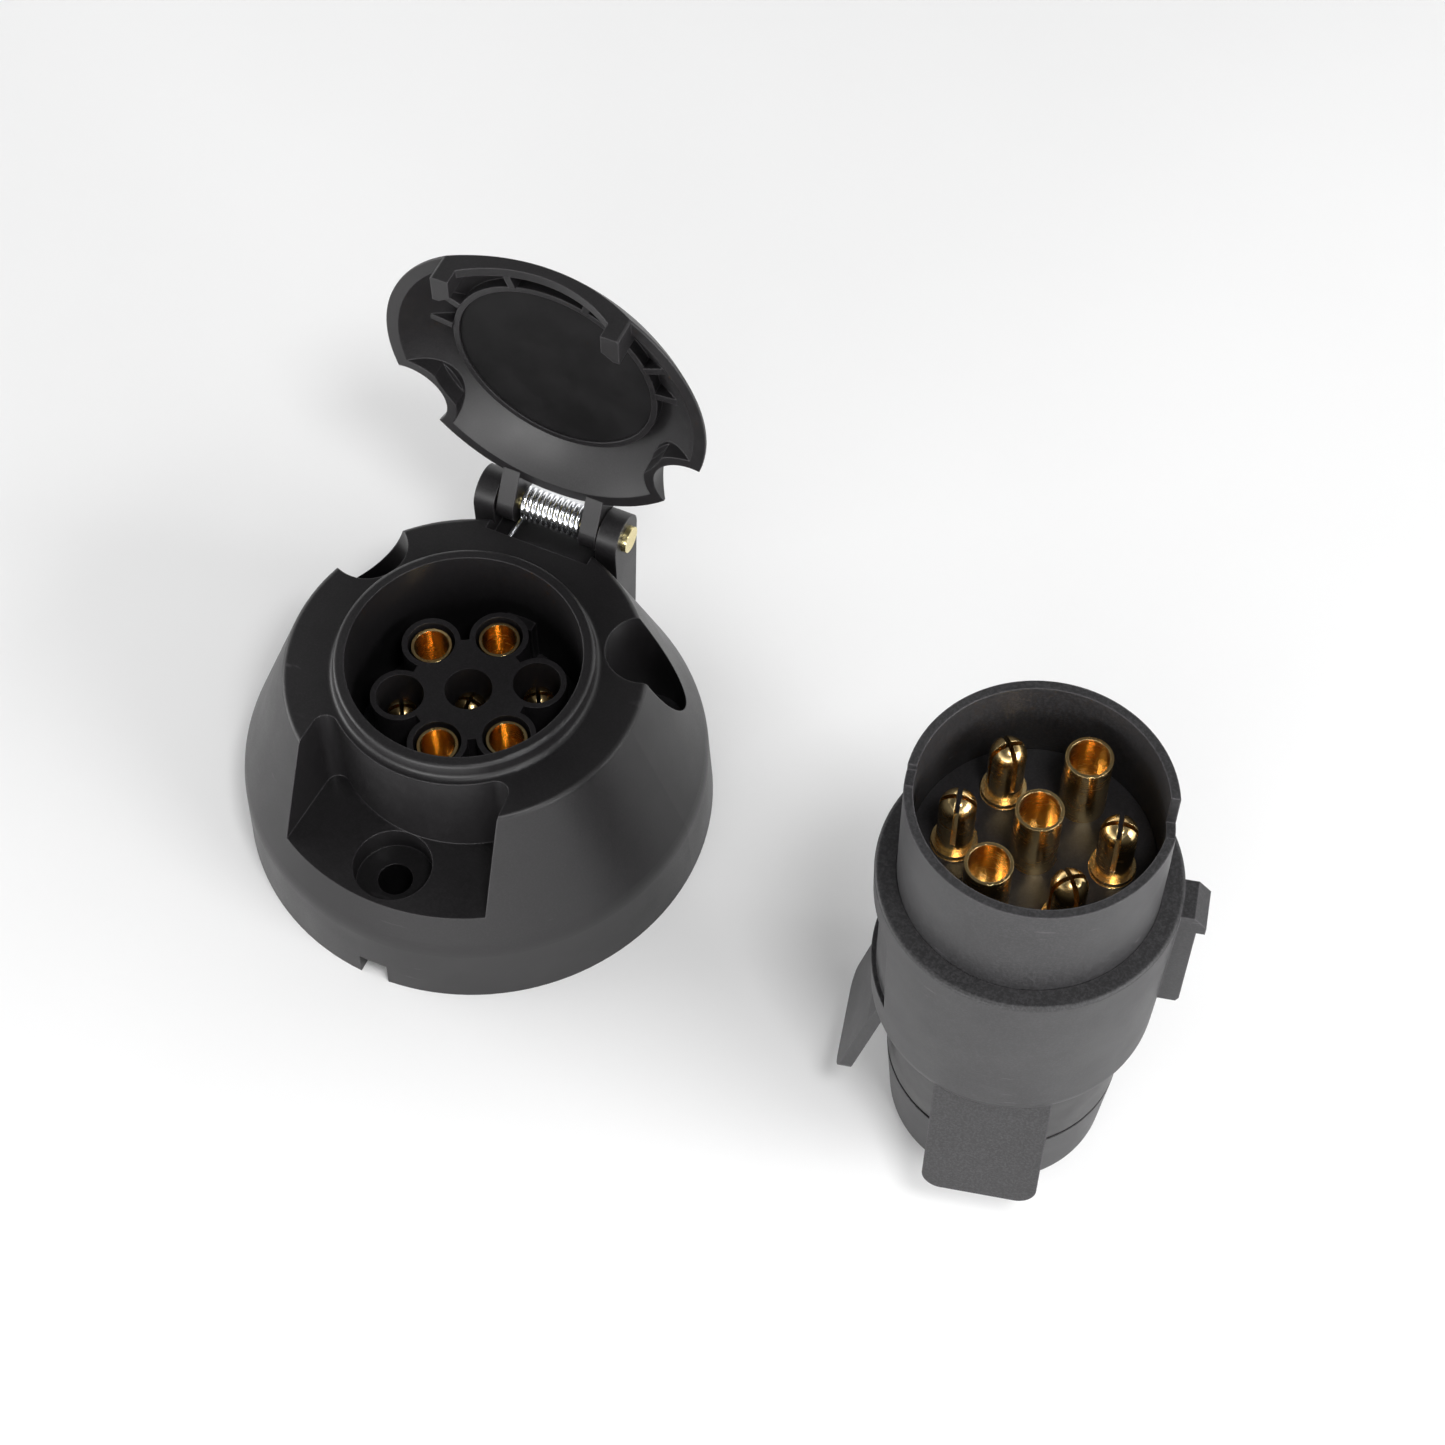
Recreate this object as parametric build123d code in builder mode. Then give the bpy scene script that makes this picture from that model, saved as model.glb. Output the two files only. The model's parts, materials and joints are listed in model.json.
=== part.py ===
"""Seven-pole trailer wiring connector: a surface-mount socket with a lid, and its plug.

The origin is the centre of the socket's mounting face. +Z runs out of the socket's mouth and +Y
towards the lid's hinge. The lid is drawn standing open. The plug stands upright beside the socket,
on its cable end, with its mouth up. All sizes are in millimetres.
"""
import os
from math import acos, degrees

from build123d import *

os.makedirs("parts", exist_ok=True)

# ---------------------------------------------------------------- shared contact pattern
CONTACT_CIRCLE_R = 10.8
TUBE_R = 3.25
TUBE_BORE_R = 2.8
PIN_R = 2.55
BARREL_R = 3.1
WIRE_HOLE_R = 1.9
WIRE_HOLE_DEPTH = 7.0
PIN_SLOT_WIDTH = 0.7
PIN_SLOT_DEPTH = 8.5
PIN_FLANGE_HEIGHT = 1.0
TERMINAL_SCREW_R = 1.25
TERMINAL_HEAD_R = 2.1
TERMINAL_HEAD_HEIGHT = 1.4
TERMINAL_SLOT_WIDTH = 0.6

# ---------------------------------------------------------------- socket
BASE_R = 38.2
WALL_R = 37.6
WALL_Z = 13.0
WALL_THICKNESS = 2.4
WALL_BEND_R = 9.0
SHOULDER_R = 28.3
TOP_Z = 37.2
SHOULDER_EDGE_R = 1.0
LIP_R = 20.5
LIP_DRAFT = 0.2
LIP_FOOT_R = 0.9
LIP_EDGE_R = 0.7
RIM_Z = 40.0
BORE_R = 18.5
SEAT_R = 19.4
SEAT_Z = 17.0
NECK_R = 20.9
NECK_Z = 12.0

HOLE_CIRCLE_R = 28.0
HOLE_R = 2.75
HOLE_ANGLES = (30, 150, 270)
POCKET_R = 6.2
POCKET_Z = 15.0
POCKET_WALL = 2.0
COLUMN_R = 4.9

NOTCH_R = 21.75
NOTCH_Z = 19.5
NOTCH_HALF_INNER = 16.3
NOTCH_HALF_OUTER = 18.2
NOTCH_CORNER_R = 2.0
NOTCH_WALL = 2.2
DRAIN_WIDTH = 4.8
DRAIN_HEIGHT = 4.6

KEY_WIDTH = 5.0
KEY_R = 16.7
KEY_TOP_Z = 25.8

WELL_RIM_Z = 30.5
WELL_R = 3.8
WELL_WALL_R = 4.7
WEB_TOP_Z = 19.9
CARRIER_EAR_Z = 9.0
CARRIER_SCREW_CIRCLE_R = 23.5
CARRIER_SCREW_R = 1.5
CARRIER_BOSS_R = 3.2
CARRIER_SCREW_LENGTH = 11.0
CARRIER_HEAD_R = 2.8
CARRIER_HEAD_HEIGHT = 1.8
CARRIER_CROSS = (3.6, 0.8)
SOCKET_BARREL_Z = 4.8
SOCKET_TUBE_TOP = 29.7
SOCKET_PIN_TOP = 27.5
SOCKET_TUBE_ANGLES = (90, 150, 270, 330)
SOCKET_PIN_SEATS = ((0, 0), (30, CONTACT_CIRCLE_R), (210, CONTACT_CIRCLE_R))

# ---------------------------------------------------------------- hinge and lid
HINGE_Y = 32.0
HINGE_Z = 37.5
LID_OPEN = 90.0
HINGE_PIN_R = 1.5
HINGE_RUNNING_GAP = 0.05
EAR_R = 4.0
EAR_IN = 9.05
EAR_OUT = 12.6
EAR_FOOT_Z = 16.0
EAR_DRAFT = 2.0
RECESS_HALF_WIDTH = 8.95
RECESS_Y = 25.0
RECESS_Z = 33.0
SHELF_WIDTH = 11.0
SHELF_THICKNESS = 1.2
SHELF_HEIGHT = 2.2
KNUCKLE_R = 3.6
KNUCKLE_IN = 5.8
KNUCKLE_OUT = 8.75
ARM_Y = 25.2
ARM_Z = 39.3
ARM_THICKNESS = 1.6
ARM_HEIGHT = 3.0
SPRING_R = 2.6
SPRING_WIRE_R = 0.42
SPRING_PITCH = 0.96
SPRING_TURNS = 11

LID_R = 26.8
LID_WALL = 1.7
LID_SKIRT_Z = 37.6
LID_TOP_Z = 49.2
LID_SPHERE_R = 37.7
LID_ROOF_Z = 43.2
LID_LIP_GAP = 0.3
LID_FRONT_Y = 22.3
LID_RING_IN = 16.2
LID_RING_OUT = 17.2
LID_RING_Z = 41.2
LID_RIB_Z = 40.8
LID_RIB_WIDTH = 1.2
LID_RIB_ANGLES = (188, 206, 250, 290, 334, 352)
SCALLOP_R = 6.4
CATCH_Z = 40.0
CATCH_ARC_R = 21.0
CATCH_HALF_WIDTH = 15.2
PRONG_Z = 33.4
PRONG_WIDTH = 2.9
PRONG_REACH = 4.9
PRONG_R = 22.4
SEAL_R = 16.2
SEAL_THICKNESS = 1.6

# ---------------------------------------------------------------- plug
PLUG_X = 97.3
PLUG_Y = -16.0
PLUG_TURN = 13.0
PLUG_RIM_Z = 88.0
COLLAR_R = 18.2
COLLAR_BORE_R = 16.9
COLLAR_FOOT_Z = 52.0
COLLAR_LEDGE_R = 15.6
COLLAR_LEDGE_THICKNESS = 3.0
KEYWAY_WIDTH = 6.0
KEYWAY_DEPTH = 6.0
PLUG_FLOOR_Z = 72.8
PLUG_CARRIER_Z = 64.0
PLUG_TIP_Z = 84.6
PLUG_BARREL_Z = 54.0
PLUG_PIN_ANGLES = (0, 120, 180, 300)
PLUG_TUBE_SEATS = ((0, 0), (60, CONTACT_CIRCLE_R), (240, CONTACT_CIRCLE_R))
PLUG_PIN_FLANGE_R = 3.15
PLUG_SCREW_CIRCLE_R = 14.3
PLUG_SCREW_ANGLES = (30, 210)
PLUG_SCREW_R = 1.25
PLUG_SCREW_LENGTH = 8.0
PLUG_SCREW_HEAD_R = 1.9
PLUG_SCREW_HEAD_HEIGHT = 1.4
PLUG_SCREW_CROSS = (2.6, 0.6)

BELL_RIM_Z = 68.2
BELL_TOP_R = 21.3
BELL_LOW_R = 20.5
BELL_LOW_Z = 33.0
BELL_BORE_R = 18.25
BELL_INNER_R = 17.6
BELL_FLOOR_Z = 36.0
BELL_BOTTOM_R = 4.5
BELL_EDGE_R = 0.6
THREAD_R = 14.4
THREAD_BORE_R = 12.0
THREAD_Z = 6.0
LUG_WIDTH = 6.0
LUG_R = 23.6
LUG_HOOK_R = 24.8
LUG_Z = 44.0
LUG_HOOK_Z = 64.2
LABEL_RECESS_R = 20.0
LABEL_LOW_Z = 43.0
LABEL_HIGH_Z = 63.0
LABEL_HALF_ANGLE = 34
TAB_HALF_WIDTH = 8.5
TAB_LOW_Z = 13.5
TAB_BEND_Z = 32.2
TAB_TOP_Z = 36.5
TAB_TOP_R = 18.5
TAB_BEND_R = 19.8
TAB_R = 24.2
TAB_THICKNESS = 2.0
TAB_CORNER_R = 3.0
TAB_ANGLES = (90, 180, 270)
SHELL_SCREW_Z = 57.0
SHELL_SCREW_R = 1.45
SHELL_HEAD_R = 2.8
SHELL_HEAD_SEAT = 19.5
SHELL_HEAD_OUT = 20.9
SHELL_SCREW_IN = 14.6

WASHER_Z = 16.5
WASHER_TOP_Z = 17.5
SEAL_RING_R = 17.6
CAP_TOP_R = 17.4
CAP_LOW_R = 16.2
CAP_CORNER_R = 3.5
CAP_FLOOR_Z = 2.6
CAP_HOLE_R = 5.2
CAP_RUNNING_GAP = 0.06
GROMMET_FLANGE_R = 13.2
GROMMET_FLANGE_Z = 5.6
GROMMET_R = 8.0
GROMMET_TOP_Z = 16.0
CABLE_R = 4.5
SADDLE_TOP_Z = 46.0
SADDLE_GROOVE_R = 6.1
CLAMP_X = 2.0
CLAMP_THICKNESS = 3.6
CLAMP_SCREW_Y = 9.0
CLAMP_SCREW_R = 1.5
CLAMP_SCREW_Z = 41.5
CLAMP_SCREW_GRIP = 8.0
CLAMP_HEAD_R = 2.6
CLAMP_HEAD_HEIGHT = 1.8


# ---------------------------------------------------------------- placing planes
def seat(base, angle, reach):
    """The plane of a base turned by an angle and moved outward, such as a contact's seat."""
    return Plane(base.location * Rot(0, 0, angle) * Pos(reach, 0, 0))


def upright(base):
    """The base's upright section plane: its x runs outward and its y up the base's axis."""
    return Plane(base.location * Rot(90, 0, 0))


def outward(base, reach, height):
    """A plane on the base's x axis, at a reach and a height, that faces outward."""
    return Plane(base.location * Pos(reach, 0, height) * Rot(0, 90, 0))


def axis_of(base):
    """The base's own upright axis."""
    return Axis(base.origin, base.z_dir)


def corner(sketch, x, y):
    """The vertex of a sketch nearest to a place."""
    return sketch.vertices().sort_by_distance((x, y, 0))[0]


SOCKET = Plane.XY
LID = Plane(Pos(0, HINGE_Y, HINGE_Z) * Rot(-LID_OPEN, 0, 0) * Pos(0, -HINGE_Y, -HINGE_Z))
PLUG = Plane(Pos(PLUG_X, PLUG_Y, 0) * Rot(0, 0, PLUG_TURN))
SOCKET_SIDE = Plane.YZ
LID_SIDE = Plane(origin=LID.origin, x_dir=LID.y_dir, z_dir=LID.x_dir)


# ---------------------------------------------------------------- contacts
def barrel(place, low_z, foot_z, floor_z):
    """The wire end of a contact: a barrel with an end hole, and the shank held by the carrier."""
    with BuildPart() as wire_end:
        with BuildSketch(place.offset(foot_z)):
            Circle(TUBE_R)
        extrude(amount=floor_z - foot_z)
        with BuildSketch(place.offset(low_z)):
            Circle(BARREL_R)
            Circle(WIRE_HOLE_R, mode=Mode.SUBTRACT)
        extrude(amount=WIRE_HOLE_DEPTH)
        with BuildSketch(place.offset(low_z + WIRE_HOLE_DEPTH)):
            Circle(BARREL_R)
        extrude(amount=foot_z - low_z - WIRE_HOLE_DEPTH)
        with BuildSketch(outward(place, 0, low_z + WIRE_HOLE_DEPTH / 2)):
            Circle(TERMINAL_SCREW_R)
        extrude(amount=BARREL_R + 1, mode=Mode.SUBTRACT)
    return wire_end


def tube_contact(place, low_z, foot_z, floor_z, mouth_z):
    """A female contact: an open tube whose bore ends a little above the carrier's floor."""
    with BuildPart() as contact:
        add(barrel(place, low_z, foot_z, floor_z).part)
        with BuildSketch(place.offset(floor_z)):
            Circle(TUBE_R)
        extrude(amount=mouth_z - floor_z)
        with BuildSketch(place.offset(mouth_z)):
            Circle(TUBE_BORE_R)
        extrude(amount=floor_z + 1 - mouth_z, mode=Mode.SUBTRACT)
    return contact


def pin_contact(place, low_z, foot_z, floor_z, tip_z, flange_r=0.0):
    """A male contact: a domed pin split by two crossed slots, with a flange at its foot."""
    with BuildPart() as contact:
        add(barrel(place, low_z, foot_z, floor_z).part)
        with BuildSketch(upright(place)):
            with BuildLine():
                Polyline((0, tip_z), (0, floor_z), (PIN_R, floor_z), (PIN_R, tip_z - PIN_R))
                CenterArc((0, tip_z - PIN_R), PIN_R, 0, 90)
            make_face()
        revolve(axis=axis_of(place))
        with BuildSketch(place.offset(tip_z)):
            Rectangle(3 * PIN_R, PIN_SLOT_WIDTH)
            Rectangle(PIN_SLOT_WIDTH, 3 * PIN_R)
        extrude(amount=-PIN_SLOT_DEPTH, mode=Mode.SUBTRACT)
        if flange_r:
            with BuildSketch(place.offset(floor_z)):
                Circle(flange_r)
            extrude(amount=PIN_FLANGE_HEIGHT)
    return contact


def terminal_screws(places, low_z):
    """One clamping screw for each wire barrel, with a slotted head outside the barrel."""
    height = low_z + WIRE_HOLE_DEPTH / 2
    with BuildPart() as screws:
        for place in places:
            with BuildSketch(outward(place, WIRE_HOLE_R / 2, height)):
                Circle(TERMINAL_SCREW_R)
            extrude(amount=BARREL_R - WIRE_HOLE_R / 2)
            with BuildSketch(outward(place, BARREL_R, height)):
                Circle(TERMINAL_HEAD_R)
            extrude(amount=TERMINAL_HEAD_HEIGHT)
            with BuildSketch(outward(place, BARREL_R + TERMINAL_HEAD_HEIGHT, height)):
                Rectangle(2.4 * TERMINAL_HEAD_R, TERMINAL_SLOT_WIDTH)
            extrude(amount=-TERMINAL_SLOT_WIDTH, mode=Mode.SUBTRACT)
    return screws


# ---------------------------------------------------------------- socket housing
with BuildPart() as front_notch:
    # The tool that cuts the front screw's notch: straight flanks, and a round inner wall.
    with BuildSketch(SOCKET.offset(NOTCH_Z)) as notch_plan:
        with BuildLine():
            Polyline(
                (-NOTCH_HALF_INNER, -HOLE_CIRCLE_R / 2),
                (NOTCH_HALF_INNER, -HOLE_CIRCLE_R / 2),
                (NOTCH_HALF_OUTER, -BASE_R - 5),
                (-NOTCH_HALF_OUTER, -BASE_R - 5),
                close=True,
            )
        make_face()
        Circle(NOTCH_R, mode=Mode.SUBTRACT)
        inner_corners = [corner(notch_plan, side * NOTCH_HALF_INNER, -14.4) for side in (-1, 1)]
        fillet(inner_corners, NOTCH_CORNER_R)
    extrude(amount=RIM_Z)

with BuildPart() as rear_hollow:
    # The open back: the outer shape less its wall, the neck, the pockets and the bosses.
    with BuildSketch(upright(SOCKET)):
        with BuildLine():
            Polyline(
                (0, -1),
                (BASE_R - WALL_THICKNESS, -1),
                (WALL_R - WALL_THICKNESS, WALL_Z - 0.5),
                (SHOULDER_R - 1.5, TOP_Z - WALL_THICKNESS),
                (0, TOP_Z - WALL_THICKNESS),
                close=True,
            )
        make_face()
    revolve(axis=Axis.Z)
    with BuildSketch(SOCKET.offset(NECK_Z)):
        Circle(NECK_R)
        with PolarLocations(CARRIER_SCREW_CIRCLE_R, 2):
            Circle(CARRIER_BOSS_R)
            with Locations((-CARRIER_BOSS_R / 2, 0)):
                Rectangle(CARRIER_BOSS_R, 2 * CARRIER_BOSS_R)
    extrude(amount=RIM_Z, mode=Mode.SUBTRACT)
    with BuildSketch(SOCKET.offset(POCKET_Z - WALL_THICKNESS)):
        with Locations(*[seat(SOCKET, angle, HOLE_CIRCLE_R).location for angle in HOLE_ANGLES]):
            Circle(POCKET_R + POCKET_WALL)
    extrude(amount=RIM_Z, mode=Mode.SUBTRACT)
    with BuildSketch(SOCKET.offset(-2)):
        with Locations(*[seat(SOCKET, angle, HOLE_CIRCLE_R).location for angle in HOLE_ANGLES]):
            Circle(COLUMN_R)
    extrude(amount=RIM_Z, mode=Mode.SUBTRACT)
    with BuildSketch(SOCKET.offset(NOTCH_Z - NOTCH_WALL)):
        with BuildLine():
            Polyline(
                (-NOTCH_HALF_INNER - NOTCH_WALL, -HOLE_CIRCLE_R / 2),
                (NOTCH_HALF_INNER + NOTCH_WALL, -HOLE_CIRCLE_R / 2),
                (NOTCH_HALF_OUTER + NOTCH_WALL, -BASE_R - 5),
                (-NOTCH_HALF_OUTER - NOTCH_WALL, -BASE_R - 5),
                close=True,
            )
        make_face()
    extrude(amount=RIM_Z, mode=Mode.SUBTRACT)
    with BuildSketch(SOCKET.offset(RECESS_Z - WALL_THICKNESS)):
        with Locations((0, RECESS_Y - WALL_THICKNESS)):
            Rectangle(2 * RECESS_HALF_WIDTH + 4, 20, align=(Align.CENTER, Align.MIN))
    extrude(amount=RIM_Z, mode=Mode.SUBTRACT)

with BuildPart() as socket_housing:
    with BuildSketch(upright(SOCKET)) as outline:
        with BuildLine():
            Polyline(
                (0, 0),
                (BASE_R, 0),
                (WALL_R, WALL_Z),
                (SHOULDER_R, TOP_Z),
                (LIP_R, TOP_Z),
                (LIP_R - LIP_DRAFT, RIM_Z),
                (0, RIM_Z),
                close=True,
            )
        make_face()
        fillet(corner(outline, WALL_R, WALL_Z), WALL_BEND_R)
        fillet(corner(outline, SHOULDER_R, TOP_Z), SHOULDER_EDGE_R)
        fillet(corner(outline, LIP_R, TOP_Z), LIP_FOOT_R)
        fillet(corner(outline, LIP_R - LIP_DRAFT, RIM_Z), LIP_EDGE_R)
    revolve(axis=Axis.Z)
    for side in (-1, 1):
        # A hinge ear: a round eye on a foot that runs down into the cone.
        with BuildSketch(SOCKET_SIDE.offset(side * (EAR_IN + EAR_OUT) / 2)):
            with Locations((HINGE_Y, HINGE_Z)):
                Circle(EAR_R)
            with BuildLine():
                Polyline(
                    (HINGE_Y - EAR_R, HINGE_Z),
                    (HINGE_Y + EAR_R, HINGE_Z),
                    (HINGE_Y + EAR_R - EAR_DRAFT, EAR_FOOT_Z),
                    (HINGE_Y - EAR_R, EAR_FOOT_Z),
                    close=True,
                )
            make_face()
        extrude(amount=(EAR_OUT - EAR_IN) / 2, both=True)
    with BuildSketch(SOCKET_SIDE):
        # The web that ties the two feet together below the spring.
        with BuildLine():
            Polyline(
                (HINGE_Y - EAR_R, HINGE_Z),
                (HINGE_Y + EAR_R, HINGE_Z),
                (HINGE_Y + EAR_R - EAR_DRAFT, EAR_FOOT_Z),
                (HINGE_Y - EAR_R, EAR_FOOT_Z),
                close=True,
            )
        make_face()
    extrude(amount=(EAR_IN + EAR_OUT) / 2, both=True)
    with BuildSketch(SOCKET.offset(RECESS_Z)):
        with Locations((0, RECESS_Y)):
            Rectangle(2 * RECESS_HALF_WIDTH, 20, align=(Align.CENTER, Align.MIN))
    extrude(amount=RIM_Z, mode=Mode.SUBTRACT)
    add(front_notch.part, mode=Mode.SUBTRACT)
    add(rear_hollow.part, mode=Mode.SUBTRACT)
    with BuildSketch(SOCKET.offset(POCKET_Z)):
        with Locations(*[seat(SOCKET, angle, HOLE_CIRCLE_R).location for angle in HOLE_ANGLES]):
            Circle(POCKET_R)
    extrude(amount=RIM_Z, mode=Mode.SUBTRACT)
    with BuildSketch(SOCKET):
        with Locations(*[seat(SOCKET, angle, HOLE_CIRCLE_R).location for angle in HOLE_ANGLES]):
            Circle(HOLE_R)
    extrude(amount=RIM_Z, mode=Mode.SUBTRACT)
    with BuildSketch(SOCKET.offset(SEAT_Z)):
        Circle(BORE_R)
    extrude(amount=RIM_Z, mode=Mode.SUBTRACT)
    with BuildSketch(SOCKET):
        Circle(SEAT_R)
    extrude(amount=SEAT_Z, mode=Mode.SUBTRACT)
    with BuildSketch(SOCKET.offset(NECK_Z)):
        with PolarLocations(CARRIER_SCREW_CIRCLE_R, 2):
            Circle(CARRIER_SCREW_R)
    extrude(amount=9, mode=Mode.SUBTRACT)
    with BuildSketch(SOCKET.offset(SEAT_Z)):
        # The key, which fits the plug's keyway on the hinge side.
        with Locations((0, (KEY_R + BORE_R + 0.5) / 2)):
            Rectangle(KEY_WIDTH, BORE_R + 0.5 - KEY_R)
    extrude(amount=KEY_TOP_Z - SEAT_Z)
    with BuildSketch(SOCKET.offset(RECESS_Z)):
        # A shelf at the front of the recess, which the spring's fixed leg bears on.
        with Locations((0, RECESS_Y)):
            Rectangle(SHELF_WIDTH, SHELF_THICKNESS, align=(Align.CENTER, Align.MIN))
    extrude(amount=SHELF_HEIGHT)
    with BuildSketch(SOCKET):
        with Locations((0, -BASE_R)):
            Rectangle(DRAIN_WIDTH, 10)
    extrude(amount=DRAIN_HEIGHT, mode=Mode.SUBTRACT)
    with BuildSketch(SOCKET_SIDE):
        with Locations((HINGE_Y, HINGE_Z)):
            Circle(HINGE_PIN_R)
    extrude(amount=EAR_OUT + 1, both=True, mode=Mode.SUBTRACT)
socket_housing.part.label = "socket_housing"
export_step(socket_housing.part, "parts/socket_housing.step")

# ---------------------------------------------------------------- socket carrier and contacts
socket_tube_places = [seat(SOCKET, angle, CONTACT_CIRCLE_R) for angle in SOCKET_TUBE_ANGLES]
socket_pin_places = [seat(SOCKET, angle, reach) for angle, reach in SOCKET_PIN_SEATS]
socket_places = socket_tube_places + socket_pin_places

with BuildPart() as socket_carrier:
    with BuildSketch(SOCKET.offset(NECK_Z)):
        Circle(SEAT_R - 0.05)
    extrude(amount=SEAT_Z - NECK_Z)
    with BuildSketch(SOCKET.offset(CARRIER_EAR_Z)):
        SlotCenterToCenter(2 * CARRIER_SCREW_CIRCLE_R, 2 * CARRIER_BOSS_R)
        Circle(SEAT_R - 2.5, mode=Mode.SUBTRACT)
    extrude(amount=NECK_Z - CARRIER_EAR_Z)
    with BuildSketch(SOCKET.offset(SEAT_Z)):
        RegularPolygon(CONTACT_CIRCLE_R, 6, rotation=30)
        Circle(WELL_WALL_R)
        with PolarLocations(CONTACT_CIRCLE_R, 6, start_angle=30):
            Circle(WELL_WALL_R)
    extrude(amount=WELL_RIM_Z - SEAT_Z)
    with BuildSketch(SOCKET.offset(SEAT_Z)):
        # Two low webs from the outer wells to the bore.
        with Locations(Rot(0, 0, 30)):
            Rectangle(2 * BORE_R - 0.4, 2.0)
        Circle(WELL_WALL_R + CONTACT_CIRCLE_R - 0.6, mode=Mode.SUBTRACT)
    extrude(amount=WEB_TOP_Z - SEAT_Z)
    with BuildSketch(SOCKET.offset(SEAT_Z)):
        with Locations(*[place.location for place in socket_places]):
            Circle(WELL_R)
    extrude(amount=WELL_RIM_Z - SEAT_Z, mode=Mode.SUBTRACT)
    with BuildSketch(SOCKET):
        with Locations(*[place.location for place in socket_places]):
            Circle(TUBE_R)
        with PolarLocations(CARRIER_SCREW_CIRCLE_R, 2):
            Circle(CARRIER_SCREW_R)
    extrude(amount=SEAT_Z, mode=Mode.SUBTRACT)
socket_carrier.part.label = "socket_carrier"
export_step(socket_carrier.part, "parts/socket_carrier.step")

for number, place in enumerate(socket_tube_places, 1):
    socket_tube = tube_contact(place, SOCKET_BARREL_Z, NECK_Z, SEAT_Z, SOCKET_TUBE_TOP)
    socket_tube.part.label = f"socket_tube_{number}"
    export_step(socket_tube.part, f"parts/socket_tube_{number}.step")

for number, place in enumerate(socket_pin_places, 1):
    socket_pin = pin_contact(place, SOCKET_BARREL_Z, NECK_Z, SEAT_Z, SOCKET_PIN_TOP)
    socket_pin.part.label = f"socket_pin_{number}"
    export_step(socket_pin.part, f"parts/socket_pin_{number}.step")

socket_terminal_screws = terminal_screws(socket_places, SOCKET_BARREL_Z)
socket_terminal_screws.part.label = "socket_terminal_screws"
export_step(socket_terminal_screws.part, "parts/socket_terminal_screws.step")

with BuildPart() as carrier_screws:
    with BuildSketch(SOCKET.offset(CARRIER_EAR_Z)):
        with PolarLocations(CARRIER_SCREW_CIRCLE_R, 2):
            Circle(CARRIER_SCREW_R)
    extrude(amount=CARRIER_SCREW_LENGTH)
    with BuildSketch(SOCKET.offset(CARRIER_EAR_Z)):
        with PolarLocations(CARRIER_SCREW_CIRCLE_R, 2):
            Circle(CARRIER_HEAD_R)
    extrude(amount=-CARRIER_HEAD_HEIGHT)
    with BuildSketch(SOCKET.offset(CARRIER_EAR_Z - CARRIER_HEAD_HEIGHT)):
        with PolarLocations(CARRIER_SCREW_CIRCLE_R, 2):
            Rectangle(*CARRIER_CROSS)
            Rectangle(*CARRIER_CROSS, rotation=90)
    extrude(amount=CARRIER_HEAD_HEIGHT / 2, mode=Mode.SUBTRACT)
carrier_screws.part.label = "carrier_screws"
export_step(carrier_screws.part, "parts/carrier_screws.step")

# ---------------------------------------------------------------- hinge pin and spring
with BuildPart() as hinge_pin:
    with BuildSketch(SOCKET_SIDE.offset(-EAR_OUT - 0.5)):
        with Locations((HINGE_Y, HINGE_Z)):
            Circle(HINGE_PIN_R)
    extrude(amount=2 * EAR_OUT + 1.0)
    with BuildSketch(SOCKET_SIDE.offset(EAR_OUT)):
        with Locations((HINGE_Y, HINGE_Z)):
            Circle(HINGE_PIN_R + 0.7)
    extrude(amount=0.9)
    with BuildSketch(SOCKET_SIDE.offset(-EAR_OUT)):
        with Locations((HINGE_Y, HINGE_Z)):
            Circle(HINGE_PIN_R + 0.35)
    extrude(amount=-0.5)
hinge_pin.part.label = "hinge_pin"
export_step(hinge_pin.part, "parts/hinge_pin.step")

with BuildPart() as lid_spring:
    spring_length = SPRING_PITCH * SPRING_TURNS
    with BuildLine() as coil:
        Helix(
            SPRING_PITCH,
            spring_length,
            SPRING_R,
            center=(-spring_length / 2, HINGE_Y, HINGE_Z),
            direction=(1, 0, 0),
        )
    with BuildSketch(Plane(origin=coil.line @ 0, z_dir=coil.line % 0)):
        Circle(SPRING_WIRE_R)
    sweep(is_frenet=True)
lid_spring.part.label = "lid_spring"
export_step(lid_spring.part, "parts/lid_spring.step")

# ---------------------------------------------------------------- lid, drawn in its own plane
scallop_angles = [angle for angle in HOLE_ANGLES if angle < 180]


def lid_profile(low_z, high_z, inset=0.0):
    """Half of the lid's outline between two heights: part of a sphere on a short skirt."""
    with BuildSketch(upright(LID)) as outline:
        with Locations((0, LID_TOP_Z - LID_SPHERE_R)):
            Circle(LID_SPHERE_R - inset)
        with Locations((0, low_z)):
            Rectangle(
                LID_R - inset, high_z - low_z, align=(Align.MIN, Align.MIN), mode=Mode.INTERSECT
            )
    return outline


with BuildPart() as front_arch:
    # The tool that cuts the arched free edge of the lid's flat front.
    with BuildSketch(upright(LID)):
        with Locations((0, CATCH_Z - CATCH_ARC_R)):
            Circle(CATCH_ARC_R)
    extrude(amount=LID_R + 5)

with BuildPart() as lid_hollow:
    revolve(lid_profile(LID_SKIRT_Z - 1, LID_ROOF_Z, LID_WALL).sketch, axis=axis_of(LID))
    with BuildSketch(LID.offset(LID_SKIRT_Z - 2)):
        with Locations(*[seat(SOCKET, angle, HOLE_CIRCLE_R).location for angle in scallop_angles]):
            Circle(SCALLOP_R + LID_WALL)
        with Locations((0, LID_WALL - LID_FRONT_Y)):
            Rectangle(2 * LID_R, 10, align=(Align.CENTER, Align.MAX))
    extrude(amount=20, mode=Mode.SUBTRACT)

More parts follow.
